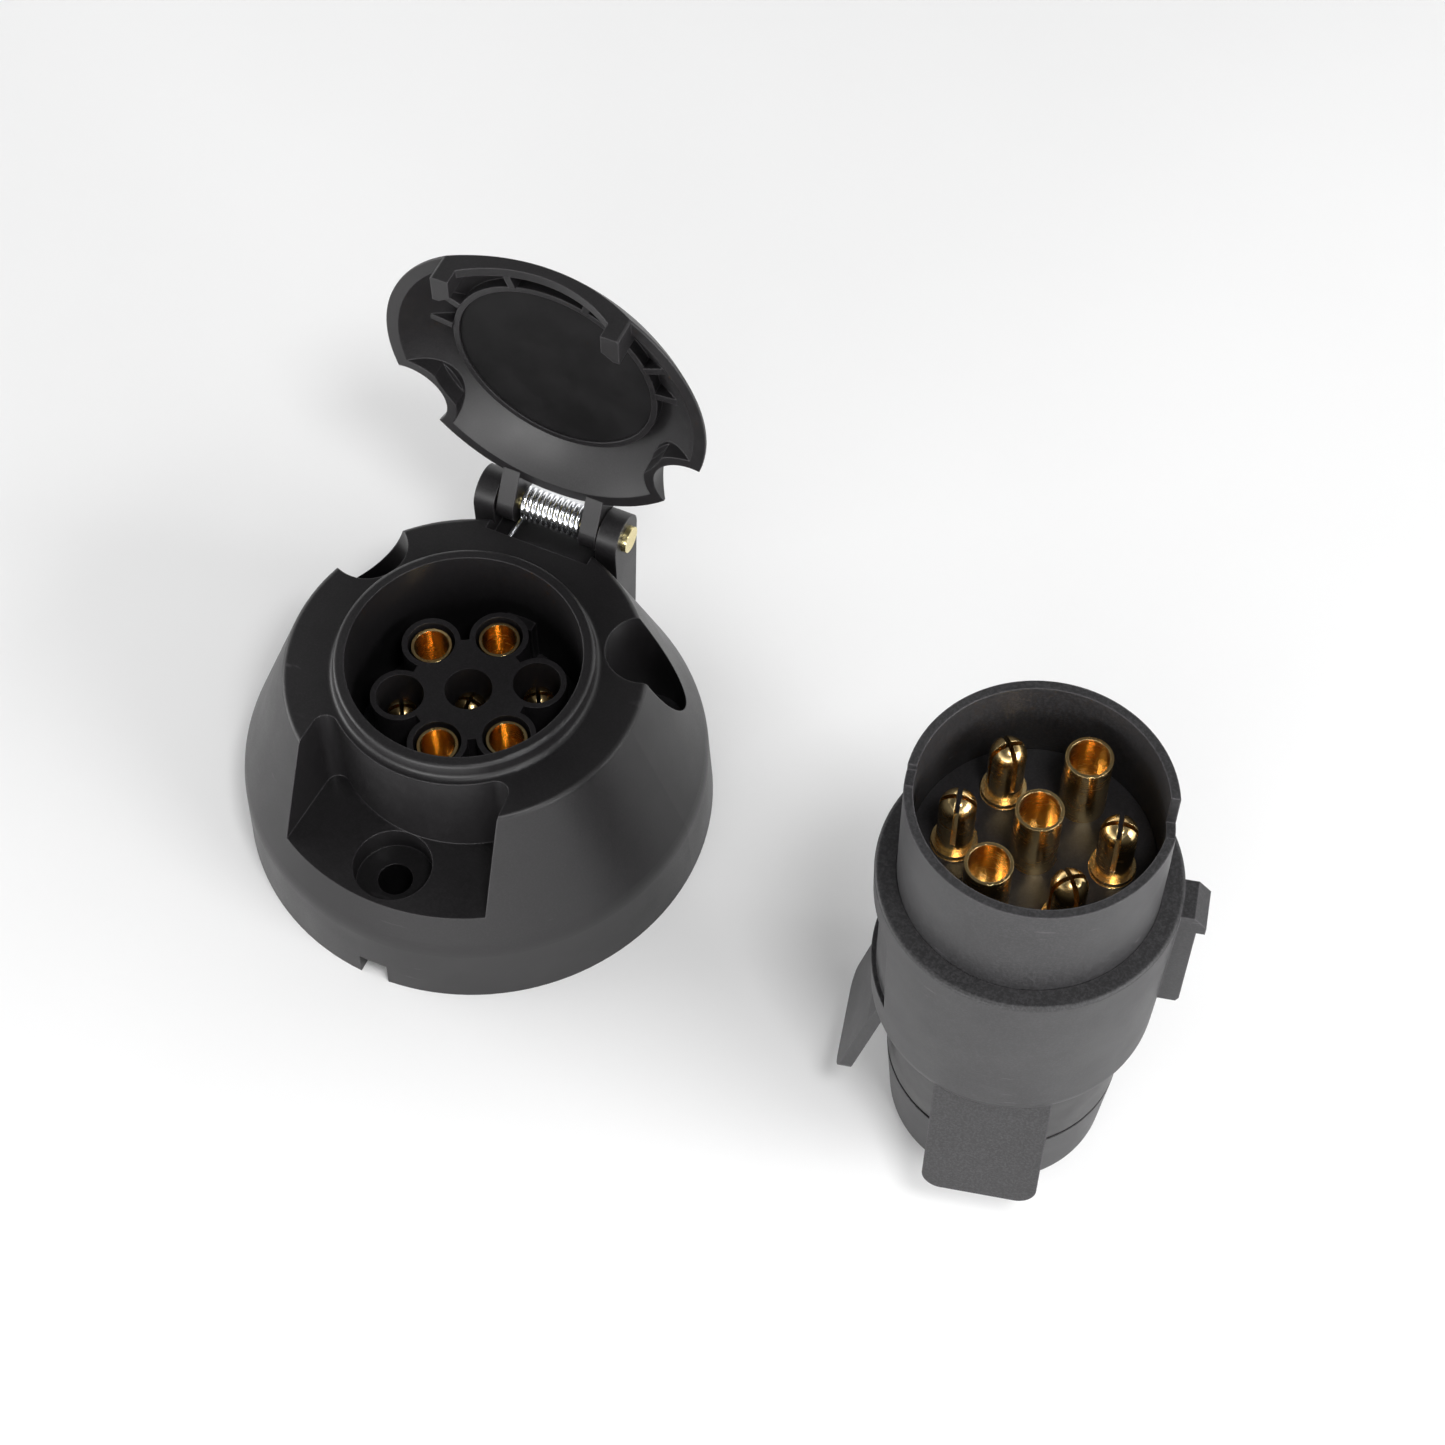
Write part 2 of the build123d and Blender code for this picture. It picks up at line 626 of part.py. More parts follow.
with BuildPart() as lid_inside:
    # The flat front's lower part with its two prongs, then the ring and the short ribs.
    with BuildSketch(LID.offset(PRONG_Z)):
        with Locations((0, -LID_FRONT_Y)):
            Rectangle(2 * CATCH_HALF_WIDTH, LID_WALL, align=(Align.CENTER, Align.MIN))
    extrude(amount=LID_ROOF_Z - PRONG_Z)
    add(front_arch.part, mode=Mode.SUBTRACT)
    with BuildSketch(LID.offset(PRONG_Z)):
        for side in (-1, 1):
            with Locations((side * (CATCH_HALF_WIDTH - PRONG_WIDTH / 2), -LID_FRONT_Y)):
                Rectangle(PRONG_WIDTH, PRONG_REACH, align=(Align.CENTER, Align.MIN))
        Circle(PRONG_R, mode=Mode.SUBTRACT)
    extrude(amount=LID_ROOF_Z - PRONG_Z)
    with BuildSketch(LID.offset(LID_RING_Z)):
        Circle(LID_RING_OUT)
        Circle(LID_RING_IN, mode=Mode.SUBTRACT)
    extrude(amount=LID_ROOF_Z + 0.6 - LID_RING_Z)
    with BuildSketch(LID.offset(LID_RIB_Z)):
        rib_middle = (LID_RING_OUT + LID_R - 1) / 2
        with Locations(*[seat(SOCKET, angle, rib_middle).location for angle in LID_RIB_ANGLES]):
            Rectangle(LID_R - LID_RING_OUT - 1, LID_RIB_WIDTH)
    extrude(amount=LID_ROOF_Z + 0.6 - LID_RIB_Z)
    revolve(lid_profile(PRONG_Z, LID_TOP_Z).sketch, axis=axis_of(LID), mode=Mode.INTERSECT)

with BuildPart() as lid:
    revolve(lid_profile(LID_SKIRT_Z, LID_TOP_Z).sketch, axis=axis_of(LID))
    with BuildSketch(LID.offset(LID_SKIRT_Z - 2)):
        with Locations(*[seat(SOCKET, angle, HOLE_CIRCLE_R).location for angle in scallop_angles]):
            Circle(SCALLOP_R)
        with Locations((0, -LID_FRONT_Y)):
            Rectangle(2 * LID_R, 10, align=(Align.CENTER, Align.MAX))
    extrude(amount=20, mode=Mode.SUBTRACT)
    add(lid_hollow.part, mode=Mode.SUBTRACT)
    add(front_arch.part, mode=Mode.SUBTRACT)
    with BuildSketch(LID.offset(LID_SKIRT_Z - 2)):
        # Clearance for the socket's lip, which the two scallops would otherwise touch.
        Circle(LIP_R + LID_LIP_GAP)
    extrude(amount=RIM_Z + 0.5 - LID_SKIRT_Z + 2, mode=Mode.SUBTRACT)
    add(lid_inside.part)
    for side in (-1, 1):
        # A hinge knuckle and the arm that carries it out from the skirt.
        with BuildSketch(LID_SIDE.offset(side * (KNUCKLE_IN + KNUCKLE_OUT) / 2)):
            with Locations((HINGE_Y, HINGE_Z)):
                Circle(KNUCKLE_R)
            with Locations((ARM_Y, ARM_Z)):
                Rectangle(ARM_THICKNESS, ARM_HEIGHT)
            make_hull()
        extrude(amount=(KNUCKLE_OUT - KNUCKLE_IN) / 2, both=True)
    with BuildSketch(LID_SIDE):
        with Locations((HINGE_Y, HINGE_Z)):
            Circle(HINGE_PIN_R + HINGE_RUNNING_GAP)
    extrude(amount=EAR_OUT, both=True, mode=Mode.SUBTRACT)
lid.part.label = "lid"
export_step(lid.part, "parts/lid.step")

with BuildPart() as lid_seal:
    with BuildSketch(LID.offset(LID_ROOF_Z)):
        Circle(SEAL_R)
    extrude(amount=-SEAL_THICKNESS)
lid_seal.part.label = "lid_seal"
export_step(lid_seal.part, "parts/lid_seal.step")

# ---------------------------------------------------------------- plug collar, carrier, contacts
plug_pin_places = [seat(PLUG, angle, CONTACT_CIRCLE_R) for angle in PLUG_PIN_ANGLES]
plug_tube_places = [seat(PLUG, angle, reach) for angle, reach in PLUG_TUBE_SEATS]
plug_places = plug_pin_places + plug_tube_places
plug_screw_places = [seat(PLUG, angle, PLUG_SCREW_CIRCLE_R) for angle in PLUG_SCREW_ANGLES]
shell_screw_side = seat(PLUG, 90, 0)
shell_screw_axis = Axis(outward(shell_screw_side, 0, SHELL_SCREW_Z).origin, shell_screw_side.x_dir)

with BuildPart() as plug_collar:
    with BuildSketch(PLUG.offset(COLLAR_FOOT_Z)):
        Circle(COLLAR_R)
        Circle(COLLAR_BORE_R, mode=Mode.SUBTRACT)
    extrude(amount=PLUG_RIM_Z - COLLAR_FOOT_Z)
    with BuildSketch(PLUG.offset(PLUG_CARRIER_Z)):
        Circle(COLLAR_BORE_R + 0.5)
        Circle(COLLAR_LEDGE_R, mode=Mode.SUBTRACT)
    extrude(amount=-COLLAR_LEDGE_THICKNESS)
    for place in plug_screw_places:
        with BuildSketch(place.offset(PLUG_CARRIER_Z)):
            Rectangle(5.4, 4.6)
        extrude(amount=-COLLAR_LEDGE_THICKNESS)
        with BuildSketch(place.offset(PLUG_CARRIER_Z)):
            Circle(PLUG_SCREW_R)
        extrude(amount=-COLLAR_LEDGE_THICKNESS, mode=Mode.SUBTRACT)
    with BuildSketch(outward(shell_screw_side, COLLAR_BORE_R + 0.4, SHELL_SCREW_Z)):
        Rectangle(6, 6)
    extrude(amount=-2.4)
    with BuildSketch(outward(shell_screw_side, 0, SHELL_SCREW_Z)):
        Circle(SHELL_SCREW_R)
    extrude(amount=COLLAR_R + 1, mode=Mode.SUBTRACT)
    with BuildSketch(PLUG.offset(PLUG_RIM_Z)):
        with Locations((COLLAR_R, 0)):
            Rectangle(6, KEYWAY_WIDTH)
    extrude(amount=-KEYWAY_DEPTH, mode=Mode.SUBTRACT)
    with BuildSketch(PLUG.offset(PLUG_RIM_Z)):
        with Locations((-COLLAR_R, 0)):
            Rectangle(6, 3.2)
    extrude(amount=-1.2, mode=Mode.SUBTRACT)
plug_collar.part.label = "plug_collar"
export_step(plug_collar.part, "parts/plug_collar.step")

with BuildPart() as plug_carrier:
    with BuildSketch(PLUG.offset(PLUG_CARRIER_Z)):
        Circle(COLLAR_BORE_R - 0.05)
    extrude(amount=PLUG_FLOOR_Z - PLUG_CARRIER_Z)
    for place in plug_places:
        with BuildSketch(place.offset(PLUG_CARRIER_Z)):
            Circle(TUBE_R)
        extrude(amount=PLUG_FLOOR_Z - PLUG_CARRIER_Z, mode=Mode.SUBTRACT)
    for place in plug_screw_places:
        with BuildSketch(place.offset(PLUG_CARRIER_Z)):
            Circle(PLUG_SCREW_R)
        extrude(amount=PLUG_SCREW_LENGTH - 2, mode=Mode.SUBTRACT)
plug_carrier.part.label = "plug_carrier"
export_step(plug_carrier.part, "parts/plug_carrier.step")

for number, place in enumerate(plug_pin_places, 1):
    plug_pin = pin_contact(
        place, PLUG_BARREL_Z, PLUG_CARRIER_Z, PLUG_FLOOR_Z, PLUG_TIP_Z, PLUG_PIN_FLANGE_R
    )
    plug_pin.part.label = f"plug_pin_{number}"
    export_step(plug_pin.part, f"parts/plug_pin_{number}.step")

for number, place in enumerate(plug_tube_places, 1):
    plug_tube = tube_contact(place, PLUG_BARREL_Z, PLUG_CARRIER_Z, PLUG_FLOOR_Z, PLUG_TIP_Z)
    plug_tube.part.label = f"plug_tube_{number}"
    export_step(plug_tube.part, f"parts/plug_tube_{number}.step")

plug_terminal_screws = terminal_screws(plug_places, PLUG_BARREL_Z)
plug_terminal_screws.part.label = "plug_terminal_screws"
export_step(plug_terminal_screws.part, "parts/plug_terminal_screws.step")

with BuildPart() as plug_carrier_screws:
    for place in plug_screw_places:
        head_place = place.offset(PLUG_CARRIER_Z - COLLAR_LEDGE_THICKNESS)
        with BuildSketch(head_place):
            Circle(PLUG_SCREW_R)
        extrude(amount=PLUG_SCREW_LENGTH)
        with BuildSketch(head_place):
            Circle(PLUG_SCREW_HEAD_R)
        extrude(amount=-PLUG_SCREW_HEAD_HEIGHT)
        with BuildSketch(head_place.offset(-PLUG_SCREW_HEAD_HEIGHT)):
            Rectangle(*PLUG_SCREW_CROSS)
            Rectangle(*PLUG_SCREW_CROSS, rotation=90)
        extrude(amount=PLUG_SCREW_HEAD_HEIGHT / 2, mode=Mode.SUBTRACT)
plug_carrier_screws.part.label = "plug_carrier_screws"
export_step(plug_carrier_screws.part, "parts/plug_carrier_screws.step")

# ---------------------------------------------------------------- plug housing
with BuildPart() as finger_tabs:
    # Three flat tabs that flare out below the bell, with rounded lower corners.
    for angle in TAB_ANGLES:
        tab_seat = seat(PLUG, angle, 0)
        with BuildSketch(upright(tab_seat)):
            with BuildLine():
                Polyline(
                    (TAB_TOP_R - TAB_THICKNESS, TAB_TOP_Z),
                    (TAB_TOP_R, TAB_TOP_Z),
                    (TAB_BEND_R, TAB_BEND_Z),
                    (TAB_R, TAB_LOW_Z),
                    (TAB_R - TAB_THICKNESS, TAB_LOW_Z),
                    (TAB_BEND_R - TAB_THICKNESS, TAB_BEND_Z),
                    close=True,
                )
            make_face()
        extrude(amount=TAB_HALF_WIDTH, both=True)
    for angle in TAB_ANGLES:
        with BuildSketch(outward(seat(PLUG, angle, 0), TAB_R + 1, TAB_LOW_Z + TAB_CORNER_R)):
            # The corner blanks that round the tab's lower corners.
            for side in (-1, 1):
                with Locations((TAB_CORNER_R / 2, side * (TAB_HALF_WIDTH - TAB_CORNER_R / 2))):
                    Rectangle(TAB_CORNER_R, TAB_CORNER_R)
                with Locations((0, side * (TAB_HALF_WIDTH - TAB_CORNER_R))):
                    Circle(TAB_CORNER_R, mode=Mode.SUBTRACT)
        extrude(amount=-8, mode=Mode.SUBTRACT)

with BuildPart() as plug_housing:
    with BuildSketch(upright(PLUG)) as bell_outline:
        with BuildLine():
            Polyline(
                (THREAD_BORE_R, THREAD_Z),
                (THREAD_R, THREAD_Z),
                (THREAD_R, BELL_LOW_Z),
                (BELL_LOW_R, BELL_LOW_Z),
                (BELL_LOW_R + 0.3, BELL_LOW_Z + 10),
                (BELL_TOP_R, BELL_RIM_Z),
                (BELL_BORE_R, BELL_RIM_Z),
                (BELL_BORE_R, COLLAR_FOOT_Z),
                (BELL_INNER_R, COLLAR_FOOT_Z),
                (BELL_INNER_R, BELL_FLOOR_Z),
                (THREAD_BORE_R, BELL_FLOOR_Z),
                close=True,
            )
        make_face()
        fillet(corner(bell_outline, BELL_LOW_R, BELL_LOW_Z), BELL_BOTTOM_R)
        fillet(corner(bell_outline, BELL_TOP_R, BELL_RIM_Z), BELL_EDGE_R)
    revolve(axis=axis_of(PLUG))
    with BuildSketch(PLUG.offset(LABEL_LOW_Z)):
        # A shallow recessed panel on the side away from the key.
        Circle(BELL_TOP_R + 2)
        Circle(LABEL_RECESS_R, mode=Mode.SUBTRACT)
        with BuildLine():
            panel_edge = PolarLine((0, 0), 40, angle=180 - LABEL_HALF_ANGLE)
            panel_back = Line(panel_edge @ 1, (-40, 0))
            other_edge = PolarLine((0, 0), 40, angle=180 + LABEL_HALF_ANGLE)
            Line(other_edge @ 1, panel_back @ 1)
        make_face(mode=Mode.INTERSECT)
    extrude(amount=LABEL_HIGH_Z - LABEL_LOW_Z, mode=Mode.SUBTRACT)
    with BuildSketch(upright(PLUG)):
        # The lug on the key side, with a hook at its top.
        with BuildLine():
            Polyline(
                (BELL_LOW_R - 1.0, LUG_Z),
                (LUG_R - 0.4, LUG_Z),
                (LUG_R, LUG_Z + 1),
                (LUG_R, LUG_HOOK_Z),
                (LUG_HOOK_R, LUG_HOOK_Z),
                (LUG_HOOK_R, LUG_HOOK_Z + 1.6),
                (LUG_R - 0.6, BELL_RIM_Z - 0.3),
                (BELL_LOW_R - 1.0, BELL_RIM_Z - 0.3),
                close=True,
            )
        make_face()
    extrude(amount=LUG_WIDTH / 2, both=True)
    add(finger_tabs.part)
    with BuildSketch(PLUG.offset(BELL_FLOOR_Z - 0.5)):
        # The saddle that the cable lies against, with a post on each side for the clamp's screws.
        with Locations((-6.5, 0)):
            Rectangle(5, 24)
        for side in (-1, 1):
            with Locations((-9, side * CLAMP_SCREW_Y)):
                Rectangle(CLAMP_X + 9, 5.6, align=(Align.MIN, Align.CENTER))
        Circle(BELL_INNER_R + 0.3, mode=Mode.INTERSECT)
        Circle(SADDLE_GROOVE_R, mode=Mode.SUBTRACT)
    extrude(amount=SADDLE_TOP_Z - BELL_FLOOR_Z + 0.5)
    for side in (-1, 1):
        with BuildSketch(outward(PLUG, CLAMP_X, CLAMP_SCREW_Z)):
            with Locations((0, side * CLAMP_SCREW_Y)):
                Circle(CLAMP_SCREW_R)
        extrude(amount=-CLAMP_SCREW_GRIP, mode=Mode.SUBTRACT)
    with BuildSketch(outward(shell_screw_side, 10, SHELL_SCREW_Z)):
        Circle(SHELL_SCREW_R)
    extrude(amount=15, mode=Mode.SUBTRACT)
    with BuildSketch(upright(shell_screw_side)):
        # The countersink for the screw that holds the collar.
        with BuildLine():
            Polyline(
                (SHELL_HEAD_SEAT, SHELL_SCREW_Z),
                (SHELL_HEAD_SEAT, SHELL_SCREW_Z + SHELL_SCREW_R),
                (SHELL_HEAD_OUT + 0.1, SHELL_SCREW_Z + SHELL_HEAD_R + 0.1),
                (BELL_TOP_R + 1, SHELL_SCREW_Z + SHELL_HEAD_R + 0.1),
                (BELL_TOP_R + 1, SHELL_SCREW_Z),
                close=True,
            )
        make_face()
    revolve(axis=shell_screw_axis, mode=Mode.SUBTRACT)
plug_housing.part.label = "plug_housing"
export_step(plug_housing.part, "parts/plug_housing.step")

with BuildPart() as shell_screw:
    with BuildSketch(upright(shell_screw_side)):
        with BuildLine():
            Polyline(
                (SHELL_SCREW_IN, SHELL_SCREW_Z),
                (SHELL_SCREW_IN, SHELL_SCREW_Z + SHELL_SCREW_R),
                (SHELL_HEAD_SEAT, SHELL_SCREW_Z + SHELL_SCREW_R),
                (SHELL_HEAD_OUT, SHELL_SCREW_Z + SHELL_HEAD_R),
                (SHELL_HEAD_OUT, SHELL_SCREW_Z),
                close=True,
            )
        make_face()
    revolve(axis=shell_screw_axis)
    with BuildSketch(outward(shell_screw_side, SHELL_HEAD_OUT, SHELL_SCREW_Z)):
        Rectangle(3.4, 0.7)
        Rectangle(0.7, 3.4)
    extrude(amount=-1.0, mode=Mode.SUBTRACT)
shell_screw.part.label = "shell_screw"
export_step(shell_screw.part, "parts/shell_screw.step")

# ---------------------------------------------------------------- cable clamp and gland
with BuildPart() as cable_clamp:
    with BuildSketch(PLUG.offset(BELL_FLOOR_Z + 1.5)):
        with Locations((CLAMP_X, 0)):
            Rectangle(CLAMP_THICKNESS, 23, align=(Align.MIN, Align.CENTER))
        Circle(CABLE_R + 0.6, mode=Mode.SUBTRACT)
    extrude(amount=8)
    with BuildSketch(outward(PLUG, CLAMP_X, CLAMP_SCREW_Z)):
        with Locations((0, -CLAMP_SCREW_Y), (0, CLAMP_SCREW_Y)):
            Circle(CLAMP_SCREW_R)
    extrude(amount=CLAMP_THICKNESS, mode=Mode.SUBTRACT)
cable_clamp.part.label = "cable_clamp"
export_step(cable_clamp.part, "parts/cable_clamp.step")

with BuildPart() as clamp_screws:
    with BuildSketch(outward(PLUG, CLAMP_X - CLAMP_SCREW_GRIP, CLAMP_SCREW_Z)):
        with Locations((0, -CLAMP_SCREW_Y), (0, CLAMP_SCREW_Y)):
            Circle(CLAMP_SCREW_R)
    extrude(amount=CLAMP_SCREW_GRIP + CLAMP_THICKNESS)
    with BuildSketch(outward(PLUG, CLAMP_X + CLAMP_THICKNESS, CLAMP_SCREW_Z)):
        with Locations((0, -CLAMP_SCREW_Y), (0, CLAMP_SCREW_Y)):
            Circle(CLAMP_HEAD_R)
    extrude(amount=CLAMP_HEAD_HEIGHT)
    clamp_head_x = CLAMP_X + CLAMP_THICKNESS + CLAMP_HEAD_HEIGHT
    with BuildSketch(outward(PLUG, clamp_head_x, CLAMP_SCREW_Z)):
        with Locations((0, -CLAMP_SCREW_Y), (0, CLAMP_SCREW_Y)):
            Rectangle(3.4, 0.8)
    extrude(amount=-CLAMP_HEAD_HEIGHT / 2, mode=Mode.SUBTRACT)
clamp_screws.part.label = "clamp_screws"
export_step(clamp_screws.part, "parts/clamp_screws.step")

with BuildPart() as seal_ring:
    # The smooth dark band between the bell and the cap, wider at its top.
    with BuildSketch(upright(PLUG)):
        with BuildLine():
            Polyline(
                (THREAD_R, WASHER_TOP_Z),
                (CAP_TOP_R, WASHER_TOP_Z),
                (SEAL_RING_R, BELL_LOW_Z),
                (THREAD_R, BELL_LOW_Z),
                close=True,
            )
        make_face()
    revolve(axis=axis_of(PLUG))
seal_ring.part.label = "seal_ring"
export_step(seal_ring.part, "parts/seal_ring.step")

with BuildPart() as gland_washer:
    with BuildSketch(PLUG.offset(WASHER_Z)):
        Circle(CAP_TOP_R - 0.3)
        Circle(THREAD_R + CAP_RUNNING_GAP, mode=Mode.SUBTRACT)
    extrude(amount=WASHER_TOP_Z - WASHER_Z)
gland_washer.part.label = "gland_washer"
export_step(gland_washer.part, "parts/gland_washer.step")

with BuildPart() as gland_cap:
    with BuildSketch(upright(PLUG)) as cap_outline:
        with BuildLine():
            Polyline(
                (CAP_HOLE_R, 0),
                (CAP_LOW_R, 0),
                (CAP_TOP_R, WASHER_Z),
                (THREAD_R + CAP_RUNNING_GAP, WASHER_Z),
                (THREAD_R + CAP_RUNNING_GAP, CAP_FLOOR_Z),
                (CAP_HOLE_R, CAP_FLOOR_Z),
                close=True,
            )
        make_face()
        fillet(corner(cap_outline, CAP_LOW_R, 0), CAP_CORNER_R)
        fillet(corner(cap_outline, CAP_HOLE_R, 0), 0.8)
    revolve(axis=axis_of(PLUG))
gland_cap.part.label = "gland_cap"
export_step(gland_cap.part, "parts/gland_cap.step")

with BuildPart() as cable_grommet:
    with BuildSketch(PLUG.offset(CAP_FLOOR_Z)):
        Circle(GROMMET_FLANGE_R)
    extrude(amount=GROMMET_FLANGE_Z - CAP_FLOOR_Z)
    with BuildSketch(PLUG.offset(GROMMET_FLANGE_Z)):
        Circle(GROMMET_R)
    extrude(amount=GROMMET_TOP_Z - GROMMET_FLANGE_Z)
    with BuildSketch(PLUG.offset(CAP_FLOOR_Z)):
        Circle(CABLE_R)
    extrude(amount=GROMMET_TOP_Z, mode=Mode.SUBTRACT)
cable_grommet.part.label = "cable_grommet"
export_step(cable_grommet.part, "parts/cable_grommet.step")
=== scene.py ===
"""Looks for a seven-pole trailer socket, standing open, and the loose plug that fits it.

The CAD frame gives every shape and place, in metres. This script adds the materials, the hinge spring
with its two legs, the floor, the lights and the camera.
"""
import json
import math

import bpy
from mathutils import Matrix, Vector


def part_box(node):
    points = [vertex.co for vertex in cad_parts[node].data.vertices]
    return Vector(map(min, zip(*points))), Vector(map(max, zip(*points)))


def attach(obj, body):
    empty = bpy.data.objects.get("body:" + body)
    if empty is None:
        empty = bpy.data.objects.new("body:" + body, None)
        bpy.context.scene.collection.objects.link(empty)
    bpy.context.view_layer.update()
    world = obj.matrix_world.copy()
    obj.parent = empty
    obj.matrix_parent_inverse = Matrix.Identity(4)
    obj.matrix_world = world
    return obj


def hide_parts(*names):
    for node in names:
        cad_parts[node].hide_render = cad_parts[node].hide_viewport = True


MM = 0.001
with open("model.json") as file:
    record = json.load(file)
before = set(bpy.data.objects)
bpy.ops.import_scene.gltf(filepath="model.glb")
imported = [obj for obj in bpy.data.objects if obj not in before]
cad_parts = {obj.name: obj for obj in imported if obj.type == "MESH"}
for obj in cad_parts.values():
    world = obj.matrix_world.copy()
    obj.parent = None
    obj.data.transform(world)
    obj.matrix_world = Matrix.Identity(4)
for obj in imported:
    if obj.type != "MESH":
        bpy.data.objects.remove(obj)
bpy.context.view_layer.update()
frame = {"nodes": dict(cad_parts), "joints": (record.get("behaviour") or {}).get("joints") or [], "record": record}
NODES = frame["nodes"]
HINGE = next(j for j in frame["joints"] if j["name"] == "lid_hinge")

# How far a softened normal leans from the true one, as a cosine: on a flat face and on a full edge.
FLAT_COSINE = 0.985
EDGE_COSINE = 0.80


# ---------------------------------------------------------------- node helpers

class Tree:
    """A material's node tree, with short calls to add and join nodes."""

    def __init__(self, name):
        self.material = bpy.data.materials.new(name)
        self.material.use_nodes = True
        self.nodes = self.material.node_tree.nodes
        self.links = self.material.node_tree.links
        self.shader = self.nodes["Principled BSDF"]
        self.place = self.add("ShaderNodeTexCoord").outputs["Object"]

    def add(self, kind, **settings):
        node = self.nodes.new(kind)
        for key, value in settings.items():
            setattr(node, key, value)
        return node

    def join(self, source, target):
        self.links.new(source, target)

    def stretched(self, scale):
        """The object's coordinates, stretched by a scale for each axis."""
        node = self.add("ShaderNodeMapping")
        node.inputs["Scale"].default_value = scale
        self.join(self.place, node.inputs["Vector"])
        return node.outputs["Vector"]

    def noise(self, size, detail=3.0, roughness=0.55, vector=None):
        """Noise with grains of about the given size in metres."""
        node = self.add("ShaderNodeTexNoise")
        node.inputs["Scale"].default_value = 1.0 / size
        node.inputs["Detail"].default_value = detail
        node.inputs["Roughness"].default_value = roughness
        self.join(vector or self.place, node.inputs["Vector"])
        return node.outputs["Fac"]

    def span(self, value, from_low, from_high, to_low, to_high):
        """The value carried from one range to another, and held at its ends."""
        node = self.add("ShaderNodeMapRange", clamp=True)
        self.join(value, node.inputs["Value"])
        ends = {"From Min": from_low, "From Max": from_high, "To Min": to_low, "To Max": to_high}
        for key, number in ends.items():
            node.inputs[key].default_value = number
        return node.outputs["Result"]

    def maths(self, operation, first, second):
        """One sum or product of two values; each is a number or a node's output."""
        node = self.add("ShaderNodeMath", operation=operation, use_clamp=False)
        for socket, value in zip(node.inputs, (first, second)):
            if isinstance(value, (int, float)):
                socket.default_value = value
            else:
                self.join(value, socket)
        return node.outputs[0]

    def mix(self, share, first, second):
        """Two colours mixed by a share; each is a colour or a node's output."""
        node = self.add("ShaderNodeMix", data_type="RGBA")
        self.join(share, node.inputs["Factor"])
        for socket, colour in zip((node.inputs[6], node.inputs[7]), (first, second)):
            if isinstance(colour, tuple):
                socket.default_value = (*colour, 1.0)
            else:
                self.join(colour, socket)
        return node.outputs[2]

    def edges(self, radius):
        """From 0 on flat faces to 1 along edges, out to about the given radius."""
        bevel = self.add("ShaderNodeBevel", samples=4)
        bevel.inputs["Radius"].default_value = radius
        facing = self.add("ShaderNodeNewGeometry").outputs["Normal"]
        product = self.add("ShaderNodeVectorMath", operation="DOT_PRODUCT")
        self.join(bevel.outputs["Normal"], product.inputs[0])
        self.join(facing, product.inputs[1])
        return self.span(product.outputs["Value"], FLAT_COSINE, EDGE_COSINE, 0.0, 1.0)

    def bump(self, height, strength, distance, normal):
        """The normal, roughened by a height that reaches the given distance."""
        node = self.add("ShaderNodeBump")
        node.inputs["Strength"].default_value = strength
        node.inputs["Distance"].default_value = distance
        self.join(height, node.inputs["Height"])
        self.join(normal, node.inputs["Normal"])
        return node.outputs["Normal"]

    def soft_edges(self, radius):
        """Normals that turn smoothly over an edge, as a moulded or tumbled corner's do."""
        node = self.add("ShaderNodeBevel", samples=4)
        node.inputs["Radius"].default_value = radius
        return node.outputs["Normal"]

    def set(self, **values):
        """Sets the shader's own sockets to plain values."""
        for key, value in values.items():
            self.shader.inputs[key.replace("_", " ")].default_value = value

    def wire(self, **outputs):
        """Joins node outputs to the shader's sockets."""
        for key, output in outputs.items():
            self.join(output, self.shader.inputs[key.replace("_", " ")])


def grey(level, tint=(1.0, 0.92, 1.0)):
    """A dark grey with a faint tint."""
    return tuple(level * t for t in tint)


def moulded_plastic(name, dark, light, worn, roughness, grain, depth, corner):
    """Black plastic from a textured mould: fine grain, cloudy sheen, pale rubbed corners, a few scuffs."""
    tree = Tree(name)
    speckle = tree.noise(grain, detail=2.0, roughness=0.7)
    cloud = tree.noise(14 * MM, detail=4.0)
    scuff = tree.noise(1.0, detail=4.0, vector=tree.stretched((90.0, 260.0, 900.0)))
    colour = tree.mix(tree.span(speckle, 0.42, 0.66, 0.0, 1.0), dark, light)
    edge = tree.maths("MULTIPLY", tree.edges(corner * 1.6), tree.span(cloud, 0.35, 0.7, 0.25, 1.0))
    marks = tree.maths(
        "MULTIPLY",
        tree.span(scuff, 0.68, 0.76, 0.0, 0.5),
        tree.span(cloud, 0.5, 0.65, 0.0, 1.0),
    )
    wear = tree.maths("MAXIMUM", tree.maths("MULTIPLY", edge, 0.45), marks)
    rough = tree.maths(
        "ADD",
        tree.span(cloud, 0.3, 0.7, roughness - 0.05, roughness + 0.06),
        tree.span(speckle, 0.3, 0.7, -0.04, 0.04),
    )
    tree.set(IOR=1.49, Specular_IOR_Level=0.5)
    tree.wire(
        Base_Color=tree.mix(wear, colour, worn),
        Roughness=rough,
        Normal=tree.bump(speckle, 0.35, depth, tree.soft_edges(corner)),
    )
    return tree.material


